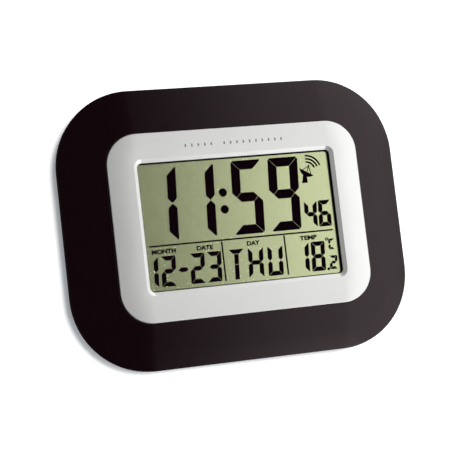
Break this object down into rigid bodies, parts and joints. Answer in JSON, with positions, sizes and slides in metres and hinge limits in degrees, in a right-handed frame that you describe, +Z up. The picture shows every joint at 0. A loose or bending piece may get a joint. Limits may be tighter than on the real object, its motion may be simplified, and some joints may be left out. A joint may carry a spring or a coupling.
{
  "type": "radio-controlled wall clock",
  "caption": "Wall clock with a wide dished rounded frame, a raised silver bezel and a rectangular liquid crystal display, with battery bay, rear buttons and a fold-out table stand.",
  "frame": {"origin": "centre of the hanging keyhole's round entry, on the wall plane at the clock's back", "axes": "+Z up, +Y out of the clock's back towards the wall, +X to the viewer's right; the display faces -Y"},
  "size_m": [0.23, 0.027, 0.1816],
  "materials": {
    "frame_plastic": "satin, dark brown",
    "bezel_silver": "silver paint",
    "lens_clear": "clear polished",
    "display_glass": "clear polished",
    "display_ground": "grey-green reflective",
    "display_ink": "near black",
    "seal_grey": "matt",
    "gasket_black": "matt",
    "holder_plastic": "moulded",
    "zebra_rubber": "matt",
    "board": "solder mask",
    "steel": "zinc plated",
    "chip_resin": "glossy resin",
    "can_metal": "satin",
    "capacitor_sleeve": "gloss",
    "bead": "gloss",
    "ferrite": "sintered",
    "copper_wire": "enamelled winding",
    "cover_plastic": "fine texture",
    "door_plastic": "fine texture",
    "stand_plastic": "fine texture",
    "button_rubber": "satin",
    "switch_plastic": "moulded",
    "spring_steel": "nickel plated",
    "cell_jacket": "plain sleeve"
  },
  "bodies": {
    "clock_body": {"outer_frame": "frame_plastic", "bezel": "bezel_silver", "lens": "lens_clear", "lcd_gasket": "gasket_black", "front_polarizer": "display_glass", "lcd_front_glass": "display_glass", "lcd_edge_seal": "seal_grey", "lcd_segments": "display_ink", "lcd_rear_glass": "display_ground", "lcd_reflector": "display_ground", "lcd_holder": "holder_plastic", "zebra_strip": "zebra_rubber", "main_board": "board", "board_screws": "steel", "holder_screws": "steel", "cover_screws": "steel", "controller_chip": "chip_resin", "quartz_crystal": "can_metal", "electrolytic_capacitor": "capacitor_sleeve", "thermistor": "bead", "ferrite_rod": "ferrite", "aerial_coil": "copper_wire", "receiver_board": "board", "receiver_chip": "chip_resin", "rear_cover": "cover_plastic", "battery_plates": "spring_steel", "battery_springs": "spring_steel", "button_switches": "switch_plastic", "battery_1": "cell_jacket", "battery_2": "cell_jacket"},
    "door": {"battery_door": "door_plastic"},
    "stand": {"table_stand": "stand_plastic"},
    "button_1": {"button_1": "button_rubber"},
    "button_2": {"button_2": "button_rubber"},
    "button_3": {"button_3": "button_rubber"},
    "button_4": {"button_4": "button_rubber"},
    "button_5": {"button_5": "button_rubber"}
  },
  "joints": [
    {"name": "stand_hinge", "type": "hinge", "parent": "clock_body", "child": "stand", "pos_m": [0, -0.0021, -0.086], "axis": [-1, 0, 0], "range_deg": [0, 140]},
    {"name": "door_hinge", "type": "hinge", "parent": "clock_body", "child": "door", "pos_m": [0.051, 0, -0.07535], "axis": [-1, 0, 0], "range_deg": [0, 80]},
    {"name": "button_1_press", "type": "slide", "parent": "clock_body", "child": "button_1", "axis": [0, -1, 0], "range_m": [0, 0.0008], "stiffness_N_per_m": 500, "springref_m": -0.0005},
    {"name": "button_2_press", "type": "slide", "parent": "clock_body", "child": "button_2", "axis": [0, -1, 0], "range_m": [0, 0.0008], "stiffness_N_per_m": 500, "springref_m": -0.0005},
    {"name": "button_3_press", "type": "slide", "parent": "clock_body", "child": "button_3", "axis": [0, -1, 0], "range_m": [0, 0.0008], "stiffness_N_per_m": 500, "springref_m": -0.0005},
    {"name": "button_4_press", "type": "slide", "parent": "clock_body", "child": "button_4", "axis": [0, -1, 0], "range_m": [0, 0.0008], "stiffness_N_per_m": 500, "springref_m": -0.0005},
    {"name": "button_5_press", "type": "slide", "parent": "clock_body", "child": "button_5", "axis": [0, -1, 0], "range_m": [0, 0.0008], "stiffness_N_per_m": 500, "springref_m": -0.0005}
  ]
}
